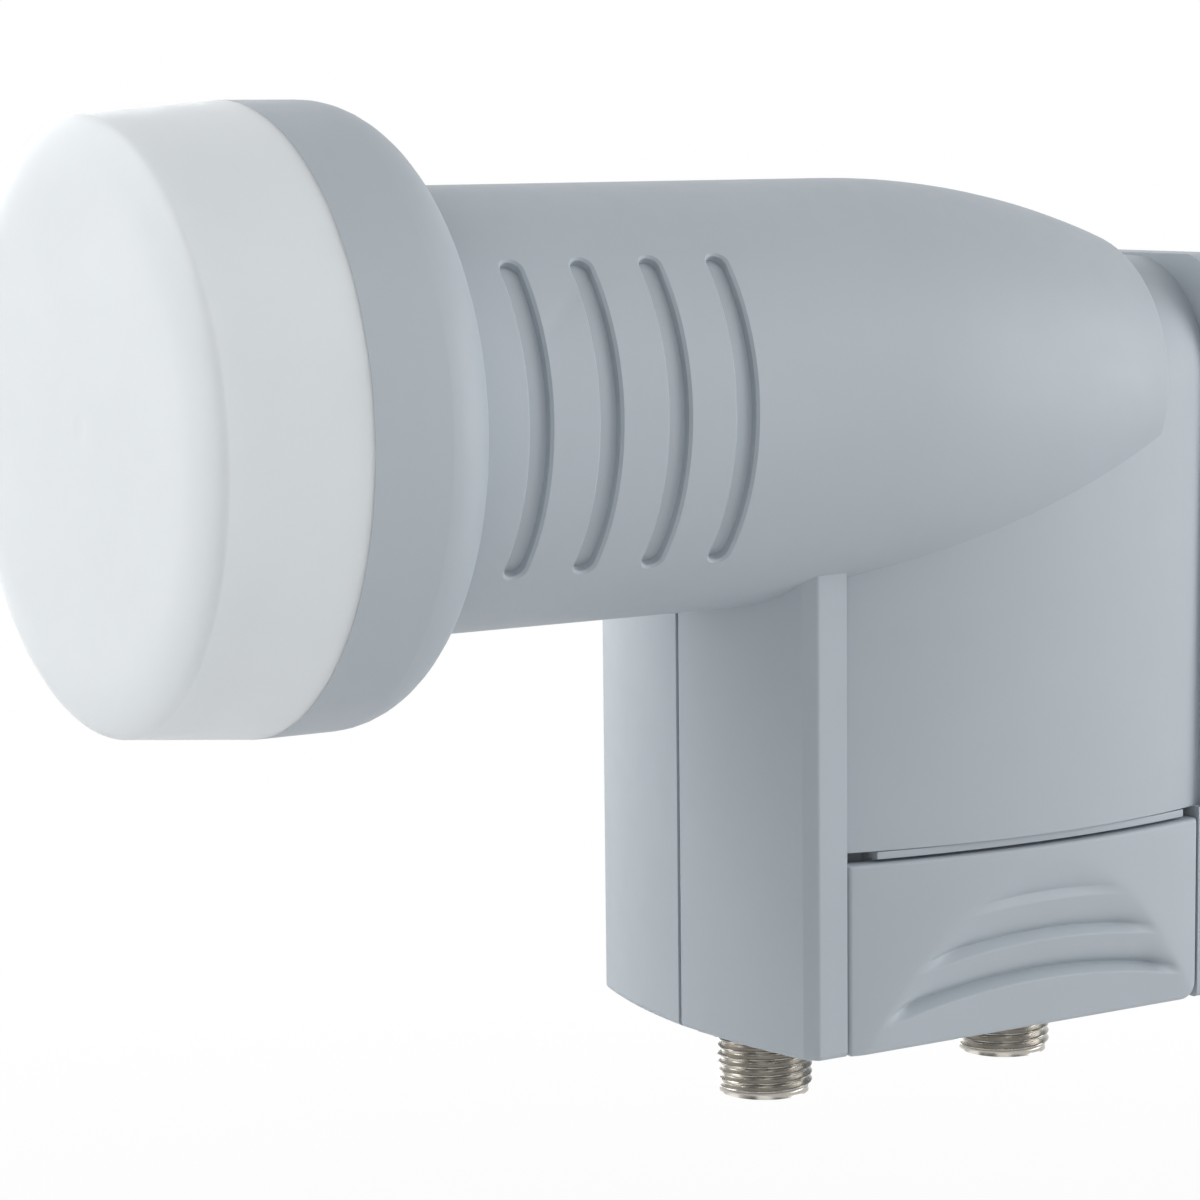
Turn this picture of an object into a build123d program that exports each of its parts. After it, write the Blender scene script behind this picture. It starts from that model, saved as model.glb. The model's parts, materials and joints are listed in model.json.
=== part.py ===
from build123d import *
import math
import os

# Satellite LNB. Millimetres. The feed looks along -Y, +Z is up, and the origin is the
# middle of the neck, where the dish's clamp holds it.

# Feed: neck, shroud behind the cap, and the ogive at the back of the neck
neck_r = 20.0
wall = 2.2
shroud_r = 27.55
shroud_front_y = -30.4
shroud_rear_y = -17.6
shroud_round = 5.6
ogive_start_y = 32.0
ogive_arc_r = 87.0
ogive_length = 31.3
ogive_rim = 0.5

# Circumferential grooves on the sides of the neck
groove_count = 4
groove_pitch = 7.0
groove_width = 2.0
groove_depth = 0.9
groove_flare = 0.25
groove_half_angle = 43.0

# White cap and its seat on the shroud
cap_length = 14.0
cap_tilt = 1.25
cap_draft = 1.1
cap_rim_width = 4.6
cap_rim_drop = 1.15
cap_rim_soft = 15.0
cap_round = 1.3
cap_wall = 1.5
spigot_wall = 2.0
spigot_length = 5.0
cap_clearance = 0.15
seal_width = 1.6
seal_depth = 1.2
horn_seat_depth = 4.0
gate_r = 1.5
gate_depth = 0.15

# Case under the neck. Its middle plane, the seam, stands beside the feed axis.
case_mid_x = -7.0
case_half = 18.8
nose_y = 20.2
nose_round = 2.4
rail_chamfer_x = 1.2
rail_chamfer_y = 1.0
rail_width = 3.2
rail_edge = 0.4
panel_length = 42.8
panel_recess = 0.9
roof_recess = 0.05
panel_bulge_low = 3.1
panel_bulge_high = 4.2
panel_rise = 0.4
panel_low_z = -42.65
rear_band = 7.9
rear_rail = 0.9
flange_lift = 0.2
flange_shoulder = 4.0
rear_round = 2.0
base_z = -62.0
base_round = 0.6
seam_width = 0.5
seam_depth = 0.4

# Sliding weather covers
slide_gap = 1.1
slide_side_clearance = 0.2
slide_back_clearance = 0.15
slide_bulge = 2.5
slide_corner = 1.8
slide_travel = 20.0
guide_thickness = 1.5
guide_front_inset = 3.7
guide_rear_inset = 1.9
guide_bulge = 2.4
ear_height = 2.0
cover_plate = 2.0
ledge_depth = 0.7
inner_wall = 2.0
grip_drop = 0.8
grip_foot = 0.15
rib_count = 3
rib_first_drop = 3.8
rib_pitch = 4.0
rib_slope = 0.75
rib_depth = 0.4
rib_growth = 0.25
rib_shift = 1.4
rib_arch_r = 78.0
rib_reach = 2.0
rib_sweep = 18.0

# Cast feed horn, waveguide and electronics tray
guide_bore_r = 9.0
guide_wall = 1.8
guide_end_y = 58.0
horn_clearance = 0.2
horn_front_gap = 3.5
horn_floor_y = -28.0
horn_plate = 3.0
choke_wall = 1.6
tray_wall = 2.0
tray_front_gap = 5.8
tray_rear_gap = 8.5
tray_floor_offset = 2.1
tray_drop = 7.0
boss_r = 3.0

# Lid, board and what stands on it
lid_thickness = 1.5
lid_clearance = 0.2
screw_r = 1.0
screw_head_r = 1.9
screw_head = 0.7
cover_screw_length = 5.0
post_r = 2.0
post_bite = 0.6
board_thickness = 1.6
board_margin = 0.2
pin_r = 0.45
bead_r = 1.8
probe_reach = 5.0
probe_drop = 3.3
probe_first = 12.0
probe_spacing = 12.0
probe_stand_off = 2.2
component_column = 10.0
component_row_low = 8.0
component_row_high = 10.0
switch_side = 6.0
mixer_side = 5.0
chip_rise = 1.0
crystal_width = 3.2
crystal_height = 2.5
crystal_rise = 0.8
regulator_width = 6.5
regulator_height = 6.0
regulator_rise = 1.8
absorber_width = 24.0
absorber_height = 18.0
absorber_thickness = 1.5

# F sockets: 3/8 inch thread, 32 turns to the inch
thread_r = 4.7625
connector_front_gap = 3.2
connector_rear_gap = 9.9
connector_drop = 7.6
connector_chamfer = 0.5
thread_relief = 0.3
flange_r = 6.6
flange_height = 3.0
socket_bore_r = 3.3
stub_r = 4.0
contact_r = 0.5
insulator_recess = 0.4
contact_recess = 2.0
contact_lap = 4.0
seal_ring_r = 6.9
seal_height = 1.8
case_hole_clearance = 0.8

# How far cutting blocks reach past what they cut
cut_reach = 20.0

# Derived places
ogive_end_y = ogive_start_y + ogive_length
spigot_r = shroud_r - cap_draft - cap_wall - cap_clearance
spigot_front_y = shroud_front_y - spigot_length
cap_face_y = shroud_front_y - cap_length
shroud_bore_r = spigot_r - spigot_wall
horn_seat_y = shroud_rear_y - horn_seat_depth
neck_bore_r = neck_r - wall
roof_r = case_half + case_mid_x
rail_y = nose_y + nose_round + rail_chamfer_y
panel_front_y = rail_y + rail_width
panel_rear_y = panel_front_y + panel_length
panel_mid_y = panel_front_y + panel_length / 2
flange_y = panel_rear_y + rear_rail
rear_y = panel_rear_y + rear_band
connector_front_y = panel_front_y + connector_front_gap
connector_rear_y = panel_rear_y - connector_rear_gap
panel_x = case_half - panel_recess
connector_z = base_z - connector_drop
inner_base_z = base_z + wall
flange_z = inner_base_z + seal_height
tray_base_z = flange_z + flange_height
slide_top_z = panel_low_z - slide_gap
guide_out = case_half - cover_plate
guide_in = guide_out - guide_thickness
pocket_in = guide_in - slide_back_clearance
pocket_out = guide_out + slide_back_clearance
inner_half = pocket_in - inner_wall
ledge_z = slide_top_z - ledge_depth
ear_z = ledge_z + slide_travel
pocket_top_z = ear_z + ear_height + wall
guide_tube_r = guide_bore_r + guide_wall
tray_front_y = nose_y + tray_front_gap
tray_rear_y = rear_y - tray_rear_gap
tray_top_z = -guide_bore_r
tray_floor_x = case_mid_x + tray_floor_offset
tray_open_x = case_mid_x - inner_half + lid_clearance + screw_head + lid_thickness
board_x = tray_floor_x - board_thickness


def ogive_drop(run, arc_r):
    """How far an arc of the given radius has fallen after a run along the feed axis."""
    return arc_r - math.sqrt(arc_r**2 - run**2)


def box(x0, x1, y0, y1, z0, z1):
    """Block between two corners."""
    size = (x1 - x0, y1 - y0, z1 - z0)
    return Pos((x0 + x1) / 2, (y0 + y1) / 2, (z0 + z1) / 2) * Box(*size)


def rod(r, x, y, z0, z1):
    """Upright cylinder between two heights."""
    return Pos(x, y, (z0 + z1) / 2) * Cylinder(r, z1 - z0)


def rod_x(r, y, z, x0, x1):
    """Cylinder along X between two planes."""
    return Pos((x0 + x1) / 2, y, z) * Rot(0, 90, 0) * Cylinder(r, x1 - x0)


def ring(r_in, r_out, y0, y1):
    """Washer about the feed axis."""
    turn = Pos(0, (y0 + y1) / 2, 0) * Rot(90, 0, 0)
    return turn * (Cylinder(r_out, y1 - y0) - Cylinder(r_in, y1 - y0))


def disc(r, y0, y1):
    """Solid cylinder about the feed axis."""
    return Pos(0, (y0 + y1) / 2, 0) * Rot(90, 0, 0) * Cylinder(r, y1 - y0)


def turned(*edges):
    """Body turned about the feed axis from an outline in the XY plane."""
    return revolve(make_face(edges), Axis.Y, 360)


def mirrored(shape):
    """The same shape on the other side of the case's middle plane."""
    return mirror(shape, Plane.YZ.offset(case_mid_x))


def feed_body():
    """Outside of shroud, neck and ogive as one turned body."""
    end_r = neck_r - ogive_drop(ogive_length, ogive_arc_r)
    half = ogive_length / 2
    bend = (neck_r - ogive_drop(half, ogive_arc_r), ogive_start_y + half)
    corner_y = shroud_rear_y - shroud_round
    corner_r = shroud_r - shroud_round
    low = Polyline(
        (0, ogive_end_y),
        (0, spigot_front_y),
        (spigot_r, spigot_front_y),
        (spigot_r, shroud_front_y),
        (shroud_r, shroud_front_y),
        (shroud_r, corner_y),
    )
    turn = corner_r + shroud_round * math.sqrt(0.5)
    rounded = ThreePointArc(
        (shroud_r, corner_y),
        (turn, corner_y + shroud_round * math.sqrt(0.5)),
        (corner_r, shroud_rear_y),
    )
    neck = Polyline((corner_r, shroud_rear_y), (neck_r, shroud_rear_y), (neck_r, ogive_start_y))
    ogive = ThreePointArc((neck_r, ogive_start_y), bend, (end_r, ogive_end_y))
    back = Line((end_r, ogive_end_y), (0, ogive_end_y))
    body = turned(low, rounded, neck, ogive, back)
    rim = body.edges().filter_by(GeomType.CIRCLE).group_by(Axis.Y)[-1]
    return fillet(rim, ogive_rim)


def feed_hollow():
    """Inside of the neck and ogive, and the bore of the shroud in front of it."""
    stop_y = ogive_end_y - wall
    end_r = neck_bore_r - ogive_drop(stop_y - ogive_start_y, ogive_arc_r - wall)
    outline = Polyline(
        (0, stop_y),
        (0, horn_seat_y),
        (neck_bore_r, horn_seat_y),
        (neck_bore_r, ogive_start_y),
        (end_r, stop_y),
        (0, stop_y),
    )
    return turned(outline) + disc(shroud_bore_r, spigot_front_y - 1, horn_seat_y)


def nose_plan(inset, end_y):
    """Floor plan of the case from its bowed nose to a flat end, drawn in by an inset."""
    half = case_half - inset
    corner = half - rail_chamfer_x
    front_y = nose_y + inset
    side_y = front_y + nose_round
    bow = ThreePointArc(
        (case_mid_x - corner, side_y),
        (case_mid_x, front_y),
        (case_mid_x + corner, side_y),
    )
    rest = Polyline(
        (case_mid_x + corner, side_y),
        (case_mid_x + half, side_y + rail_chamfer_y),
        (case_mid_x + half, end_y),
        (case_mid_x - half, end_y),
        (case_mid_x - half, side_y + rail_chamfer_y),
        (case_mid_x - corner, side_y),
    )
    plan = make_face([*bow.edges(), *rest.edges()])
    corners = plan.vertices().filter_by(lambda v: v.Y < side_y + rail_chamfer_y + 0.01)
    return fillet(corners, rail_edge)


def arch(half, top, shoulder, low_z, y0, y1):
    """Block with a round-shouldered roof, about the case's middle plane."""
    section = Rectangle(2 * half, top - low_z)
    section = fillet(section.vertices().group_by(Axis.Y)[-1], shoulder)
    plane = Plane((case_mid_x, y0, (top + low_z) / 2), x_dir=(1, 0, 0), z_dir=(0, -1, 0))
    return extrude(plane * section, -(y1 - y0))


def case_outside():
    """Case with its rails, rounded roof and back, before the panels are bulged."""
    block = extrude(Pos(0, 0, base_z) * nose_plan(0, rear_y), roof_r + flange_lift - base_z, dir=(0, 0, 1))
    roof = arch(case_half, roof_r, roof_r - 0.01, base_z, nose_y, flange_y)
    block = block & (roof + arch(case_half, roof_r + flange_lift, flange_shoulder, base_z, flange_y, rear_y))
    back = block.edges().filter_by(lambda e: abs(e.center().Y - rear_y) < 0.01)
    block = fillet(back, rear_round)
    bottom = block.edges().filter_by(lambda e: abs(e.bounding_box().max.Z - base_z) < 0.01)
    block = fillet(bottom, base_round)
    band = box(-100, 100, panel_front_y, panel_rear_y, base_z - 1, panel_low_z)
    band += box(-100, 100, panel_front_y, flange_y, panel_low_z, roof_r + 1)
    inset = panel_recess + wall / 2
    low_roof = roof_r - inset
    core = arch(case_half - inset, low_roof, low_roof - 0.01, base_z - 10, panel_front_y - 1, flange_y + 1)
    return block - (band - core)


def panel_bow(bulge, y):
    """How far a bulged side face stands out at a place along the case."""
    arc_r = ((panel_length / 2) ** 2 + bulge**2) / (2 * bulge)
    return bulge - ogive_drop(y - panel_mid_y, arc_r)


def lens(chord_x, bulge, z):
    """Plan of a bowed cover: a straight chord and an arc."""
    foot = case_mid_x + chord_x
    start = (foot, panel_front_y)
    finish = (foot, panel_rear_y)
    bow = ThreePointArc(start, (foot + bulge, panel_mid_y), finish)
    return Pos(0, 0, z) * make_face([*bow.edges(), *Line(finish, start).edges()])


def panel_section(y):
    """Section of the right half of the panelled part: leaning side, then a quarter ellipse into the roof."""
    roof = roof_r - roof_recess
    chord = roof_r - panel_recess
    foot = chord + panel_bow(panel_bulge_low, y)
    side = chord + panel_bow(panel_bulge_high, y) + panel_rise * (y - panel_front_y) / panel_length
    plane = Plane((0, y, 0), x_dir=(1, 0, 0), z_dir=(0, -1, 0))
    start = Polyline((case_mid_x, roof), (case_mid_x, panel_low_z), (foot, panel_low_z), (side, 0))
    roll = EllipticalCenterArc((0, 0), side, roof, start_angle=0, arc_size=90)
    top = Line((0, roof), (case_mid_x, roof))
    return plane * make_face([*start.edges(), *roll.edges(), *top.edges()])


def side_panel():
    """Bulged panel of the right side, rolled over into the roof."""
    start = panel_front_y - rail_width / 3
    run = flange_y + rear_rail / 2 - start
    steps = 8
    return loft([panel_section(start + run * i / steps) for i in range(steps + 1)])


def neck_groove(y):
    """One round-ended groove of the right side with a flared mouth, as the block it removes."""
    floor_r = neck_r - groove_depth
    flare_r = neck_r - groove_flare
    out_r = neck_r + 1
    half_width = groove_width / 2
    mouth = half_width + out_r - flare_r
    outline = Polyline(
        (floor_r, y - half_width),
        (flare_r, y - half_width),
        (out_r, y - mouth),
        (out_r, y + mouth),
        (flare_r, y + half_width),
        (floor_r, y + half_width),
        (floor_r, y - half_width),
    )
    sweep = groove_half_angle - math.degrees(half_width / neck_r)
    cut = Rot(0, -sweep, 0) * revolve(make_face(outline), Axis.Y, 2 * sweep)
    flare = Pos((flare_r + out_r) / 2, y, 0) * Rot(0, 90, 0) * Cone(half_width, mouth, out_r - flare_r)
    end = rod_x(half_width, y, 0, floor_r, flare_r) + flare
    for turn in (-sweep, sweep):
        cut += Rot(0, turn, 0) * end
    return cut


def bowed_strip(inner, outer, bulge, front_inset, rear_inset, z0, z1):
    """Upright plate that follows a bow along the panel, stopped short of the panel's ends by the insets."""
    y0 = panel_front_y + front_inset
    y1 = panel_rear_y - rear_inset
    front = case_mid_x + panel_bow(bulge, y0)
    rear = case_mid_x + panel_bow(bulge, y1)
    crown = case_mid_x + bulge
    back = ThreePointArc((front + inner, y0), (crown + inner, panel_mid_y), (rear + inner, y1))
    face = ThreePointArc((rear + outer, y1), (crown + outer, panel_mid_y), (front + outer, y0))
    rear_end = Line((rear + inner, y1), (rear + outer, y1))
    front_end = Line((front + outer, y0), (front + inner, y0))
    plan = make_face([*back.edges(), *rear_end.edges(), *face.edges(), *front_end.edges()])
    return extrude(Pos(0, 0, z0) * plan, z1 - z0, dir=(0, 0, 1))


def slide_pocket():
    """Space for the right weather cover: guide slot behind the panel and open recess below it."""
    low = base_z - 1
    slot = bowed_strip(pocket_in, pocket_out, guide_bulge, 0, 0, ledge_z, pocket_top_z)
    front = guide_front_inset - slide_side_clearance
    rear = guide_rear_inset - slide_side_clearance
    channel = bowed_strip(pocket_in, pocket_out, guide_bulge, front, rear, low, ledge_z + 0.1)
    recess_in = guide_out - slide_back_clearance
    recess = bowed_strip(recess_in, case_half + cut_reach, guide_bulge, 0, 0, low, panel_low_z)
    return slot + channel + recess


def case_hollow():
    """Room inside the case: narrow between the slide pockets, wide above them."""
    shelf_z = pocket_top_z + wall
    plan = nose_plan(wall, rear_y - wall)
    between = box(case_mid_x - inner_half, case_mid_x + inner_half, 0, 100, inner_base_z, shelf_z)
    low = extrude(Pos(0, 0, inner_base_z) * plan, shelf_z - inner_base_z, dir=(0, 0, 1)) & between
    roof = roof_r - panel_recess - wall
    shoulders = arch(panel_x - wall, roof, roof - 0.01, shelf_z - 0.5, nose_y, rear_y)
    high = extrude(Pos(0, 0, shelf_z - 0.5) * plan, roof - shelf_z + 0.5, dir=(0, 0, 1)) & shoulders
    return low + high


def shells():
    """Both halves of the case, parted at its middle plane."""
    panel = side_panel()
    body = feed_body() + case_outside() + panel + mirrored(panel)
    pocket = slide_pocket()
    body = body - feed_hollow() - case_hollow() - pocket - mirrored(pocket)
    groove_y = [groove_pitch * (i - (groove_count - 1) / 2) for i in range(groove_count)]
    for y in groove_y:
        groove = neck_groove(y)
        body = body - groove - mirror(groove, Plane.YZ)
    seal_y = shroud_front_y - spigot_length / 2
    body -= ring(spigot_r - seal_depth, spigot_r + 1, seal_y - seal_width / 2, seal_y + seal_width / 2)
    for y in connector_places:
        body -= rod(thread_r + case_hole_clearance, case_mid_x, y, base_z - 1, inner_base_z + 1)
    seam = box(
        case_mid_x - seam_width / 2,
        case_mid_x + seam_width / 2,
        0,
        nose_y + seam_depth,
        base_z - 1,
        -neck_r - 0.5,
    )
    body -= seam
    right = body & box(case_mid_x, 100, -100, 200, -100, 100)
    left = body & box(-100, case_mid_x, -100, 200, -100, 100)
    return right, left


def cap_plug(front_r, rear_r, face_y, rear_y):
    """Drafted plug under a slanted face whose rim falls away in a wide slope."""
    front_y = face_y - cap_rim_drop
    cone = turned(
        Polyline(
            (0, rear_y),
            (0, front_y),
            (front_r, front_y),
            (rear_r, rear_y),
            (0, rear_y),
        )
    )
    wide_r = front_r + cap_rim_width
    lens = turned(
        Polyline(
            (0, cut_reach),
            (0, 0),
            (front_r - cap_rim_width, 0),
            (wide_r, cap_rim_drop * 2),
            (wide_r, cut_reach),
            (0, cut_reach),
        )
    )
    return cone & Pos(0, face_y, 0) * Rot(cap_tilt, 0, 0) * Rot(0, 180, 0) * lens


def front_cap():
    """White cup that slips over the spigot, with a soft rim and the mark of its gate."""
    inner_r = spigot_r + cap_clearance
    outside = cap_plug(shroud_r - cap_draft, shroud_r, cap_face_y, shroud_front_y)
    slope = outside.faces().sort_by(Axis.Y)[1]
    outside = fillet(slope.edges().filter_by(GeomType.BSPLINE), cap_round)
    outside = fillet(outside.faces().sort_by(Axis.Y)[0].edges(), cap_rim_soft)
    outside -= disc(gate_r, cap_face_y - 1, cap_face_y + gate_depth)
    return outside - cap_plug(inner_r, inner_r, cap_face_y + cap_wall, shroud_front_y + 1)


def cap_seal():
    """Rubber ring in the groove of the spigot."""
    seal_y = shroud_front_y - spigot_length / 2
    y0 = seal_y - seal_width / 2
    return ring(spigot_r - seal_depth, spigot_r + cap_clearance, y0, y0 + seal_width)


def grip_x(z):
    """Where the slanting flat of the thumb grip lies at a height."""
    apex_z = slide_top_z - grip_drop
    share = (apex_z - z) / (apex_z - base_z)
    return case_mid_x + case_half + slide_bulge * (1 - share) + grip_foot * share


def grip():
    """Slanting flat of the thumb grip, as the block it removes from the bowed plate."""
    apex_z = slide_top_z - grip_drop
    low_z = base_z - 1
    far = case_mid_x + case_half + cut_reach
    outline = Polyline(
        (grip_x(apex_z), apex_z),
        (far, apex_z),
        (far, low_z),
        (grip_x(low_z), low_z),
        (grip_x(apex_z), apex_z),
    )
    plane = Plane((0, panel_front_y, 0), x_dir=(1, 0, 0), z_dir=(0, -1, 0))
    return extrude(plane * make_face(outline), panel_length, dir=(0, 1, 0))


def grip_groove(index):
    """One arched groove of the grip: it deepens slowly downwards, then a steep ledge leads out of it."""
    clear = 1.1
    crease_z = slide_top_z - grip_drop - rib_first_drop - index * rib_pitch
    crease_x = grip_x(crease_z) - rib_depth - index * rib_growth
    upper_run = rib_pitch - rib_slope
    upper_z = crease_z + upper_run * clear
    lower_z = crease_z - rib_slope * clear
    upper_x = crease_x + (grip_x(crease_z + upper_run) - crease_x) * clear
    lower_x = crease_x + (grip_x(crease_z - rib_slope) - crease_x) * clear
    outline = Polyline(
        (crease_x, crease_z),
        (lower_x, lower_z),
        (upper_x + 1, lower_z),
        (upper_x + 1, upper_z),
        (upper_x, upper_z),
        (crease_x, crease_z),
    )
    middle = panel_mid_y + rib_shift
    plane = Plane((0, middle, 0), x_dir=(1, 0, 0), z_dir=(0, -1, 0))
    centre = Axis((0, middle, crease_z - rib_arch_r), (1, 0, 0))
    groove = (plane * make_face(outline)).rotate(centre, -rib_sweep)
    return revolve(groove, centre, 2 * rib_sweep)


def weather_slide():
    """Right weather cover: bowed plate with the grip, and the guide that runs behind the panel."""
    y0 = panel_front_y + slide_side_clearance
    y1 = panel_rear_y - slide_side_clearance
    room = box(-100, 100, y0, y1, base_z, slide_top_z)
    room = fillet(room.edges().filter_by(Axis.X).group_by(Axis.Z)[0], slide_corner)
    core = box(case_mid_x, case_mid_x + case_half, y0, y1, base_z, slide_top_z)
    bow = extrude(lens(case_half, slide_bulge, base_z), slide_top_z - base_z, dir=(0, 0, 1))
    end = slide_side_clearance
    back = bowed_strip(guide_out, case_half + cut_reach, guide_bulge, end, end, base_z, slide_top_z)
    plate = (core + bow) & room & back
    top_z = ear_z + ear_height
    guide = bowed_strip(guide_in, guide_out, guide_bulge, guide_front_inset, guide_rear_inset, base_z, top_z)
    ears = bowed_strip(guide_in, guide_out, guide_bulge, end, end, ear_z, top_z)
    flat = ((core + bow) & grip()).faces().filter_by(GeomType.PLANE).sort_by(SortBy.AREA)[-1]
    bite = extrude(flat, rib_reach, dir=(-1, 0, 0))
    cover = plate + guide - grip()
    for i in range(rib_count):
        cover -= grip_groove(i) & bite
    return cover + ears


def post_places():
    """Corners of the tray that take the lid's screws, as Y and Z."""
    inset = tray_wall + post_r - post_bite
    low = tray_base_z + inset
    high = tray_top_z - inset
    rear = tray_rear_y - inset
    front = tray_front_y + inset
    beside_socket = connector_front_y + socket_bore_r + post_r + 1
    return [(beside_socket, low), (rear, low), (front, high), (rear, high)]


def board_screw_places():
    """Two holes through the board, as Y and Z."""
    mid_z = (tray_base_z + tray_top_z) / 2
    return [(tray_front_y + tray_drop, mid_z), (tray_rear_y - tray_drop, mid_z)]


def cast_body():
    """Horn with choke rings, waveguide and electronics tray in one casting."""
    horn_r = shroud_bore_r - horn_clearance
    horn_y = cap_face_y + cap_wall + horn_front_gap
    mid_r = (guide_tube_r + horn_r) / 2
    body = disc(guide_tube_r, horn_y, guide_end_y)
    body += ring(guide_tube_r - 0.5, horn_r, horn_floor_y, horn_floor_y + horn_plate)
    body += ring(mid_r - choke_wall / 2, mid_r + choke_wall / 2, horn_y, horn_floor_y + 0.5)
    body += ring(horn_r - choke_wall, horn_r, horn_y, horn_seat_y)
    tray_back = tray_floor_x + tray_wall
    body += box(tray_open_x, tray_back, tray_front_y, tray_rear_y, tray_base_z, tray_top_z)
    room = box(
        tray_open_x - 1,
        tray_floor_x,
        tray_front_y + tray_wall,
        tray_rear_y - tray_wall,
        tray_base_z + tray_wall,
        tray_top_z - tray_wall,
    )
    body -= room
    body -= disc(guide_bore_r, horn_y - 1, guide_end_y - guide_wall)
    side_x = case_mid_x + inner_half
    for y, z in post_places():
        body += rod_x(post_r, y, z, tray_open_x, tray_floor_x) & room
        body -= rod_x(screw_r, y, z, tray_open_x - 1, tray_floor_x - tray_wall)
    for y, z in board_screw_places():
        body += rod_x(boss_r, y, z, tray_floor_x, side_x)
        body -= rod_x(screw_r, y, z, tray_floor_x - 1, tray_back)
    for y in connector_places:
        body -= rod(stub_r, case_mid_x, y, tray_base_z - 1, tray_base_z + tray_wall + 0.2)
    body -= rod(bead_r, 0, probe_vertical_y, -guide_tube_r - 1, -guide_bore_r + 3)
    body -= rod_x(bead_r, probe_horizontal_y, 0, -guide_tube_r - 1, -guide_bore_r + 3)
    body -= rod_x(2 * pin_r, probe_vertical_y, probe_z, tray_floor_x - 1, tray_back + 1)
    body -= rod(2 * pin_r, probe_out_x, probe_horizontal_y, tray_top_z - tray_wall - 1, 0)
    return body


def wire(*points):
    """Round wire bent through the given points."""
    body = Part()
    for a, b in zip(points, points[1:]):
        run = Vector(*b) - Vector(*a)
        place = Plane((Vector(*a) + Vector(*b)) * 0.5, z_dir=run)
        body += place * Cylinder(pin_r, run.length)
    for p in points[1:-1]:
        body += Pos(*p) * Sphere(pin_r)
    return body


def board():
    """Circuit board on the floor of the tray, clear of the posts and the sockets."""
    plate = box(
        board_x,
        tray_floor_x,
        tray_front_y + tray_wall + board_margin,
        tray_rear_y - tray_wall - board_margin,
        tray_base_z + tray_wall + 2 * post_r + board_margin,
        tray_top_z - tray_wall - board_margin,
    )
    room = post_r + board_margin
    for y, z in post_places():
        away = math.copysign(100, y - board_mid_y)
        corner = box(board_x - 1, tray_floor_x + 1, min(y, y + away), max(y, y + away), z - room, z + 100)
        plate -= rod_x(room, y, z, board_x - 1, tray_floor_x + 1)
        if z > board_mid_z:
            plate -= corner
    for y, z in board_screw_places():
        plate -= rod_x(screw_r, y, z, board_x - 1, tray_floor_x + 1)
    return plate


def chip(y, z, width, height, rise):
    """Component lying on the board."""
    return box(board_x - rise, board_x, y - width / 2, y + width / 2, z - height / 2, z + height / 2)


def screw(y, z, head_x, tip_x):
    """Pan-head screw along X, its head towards the hidden side."""
    head = rod_x(screw_head_r, y, z, head_x - screw_head, head_x)
    return head + rod_x(screw_r, y, z, head_x, tip_x)


def lid():
    """Lid of the tray with the screw holes."""
    plate = box(tray_open_x - lid_thickness, tray_open_x, tray_front_y, tray_rear_y, tray_base_z, tray_top_z)
    for y, z in post_places():
        plate -= rod_x(screw_r, y, z, tray_open_x - lid_thickness - 1, tray_open_x + 1)
    return plate


def socket_body(y):
    """F socket: chamfered barrel, flange under the tray and stub through its floor."""
    barrel = rod(thread_r, case_mid_x, y, connector_z, base_z)
    barrel = chamfer(barrel.edges().group_by(Axis.Z)[0], connector_chamfer)
    relief = rod(thread_r - thread_relief, case_mid_x, y, base_z, flange_z)
    flange = rod(flange_r, case_mid_x, y, flange_z, tray_base_z)
    stub = rod(stub_r, case_mid_x, y, tray_base_z, tray_base_z + tray_wall)
    bore = rod(socket_bore_r, case_mid_x, y, connector_z - 1, tray_base_z + tray_wall + 1)
    return barrel + relief + flange + stub - bore


def socket_insulator(y):
    """Plastic core of a socket, drilled for the contact and the plug's pin."""
    core = rod(socket_bore_r, case_mid_x, y, connector_z + insulator_recess, tray_base_z + tray_wall)
    return core - rod(contact_r, case_mid_x, y, connector_z - 1, tray_base_z + tray_wall + 1)


def socket_contact(y):
    """Centre contact, up to the board's face."""
    top = tray_base_z + tray_wall + 2 * post_r + contact_lap
    return rod(contact_r, case_mid_x, y, connector_z + insulator_recess + contact_recess, top)


def socket_seal(y):
    """Rubber washer between a socket's flange and the floor of the case."""
    hole = rod(thread_r - thread_relief, case_mid_x, y, inner_base_z - 1, flange_z + 1)
    return rod(seal_ring_r, case_mid_x, y, inner_base_z, flange_z) - hole


connector_places = [connector_front_y, connector_rear_y]
probe_z = tray_top_z - tray_wall - probe_drop
probe_vertical_y = tray_front_y + probe_first
probe_horizontal_y = probe_vertical_y + probe_spacing
probe_out_x = -guide_tube_r - probe_stand_off
board_mid_y = (tray_front_y + tray_rear_y) / 2
board_mid_z = (tray_base_z + tray_top_z) / 2
row_low_z = board_mid_z - component_row_low
row_high_z = board_mid_z + component_row_high

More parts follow.
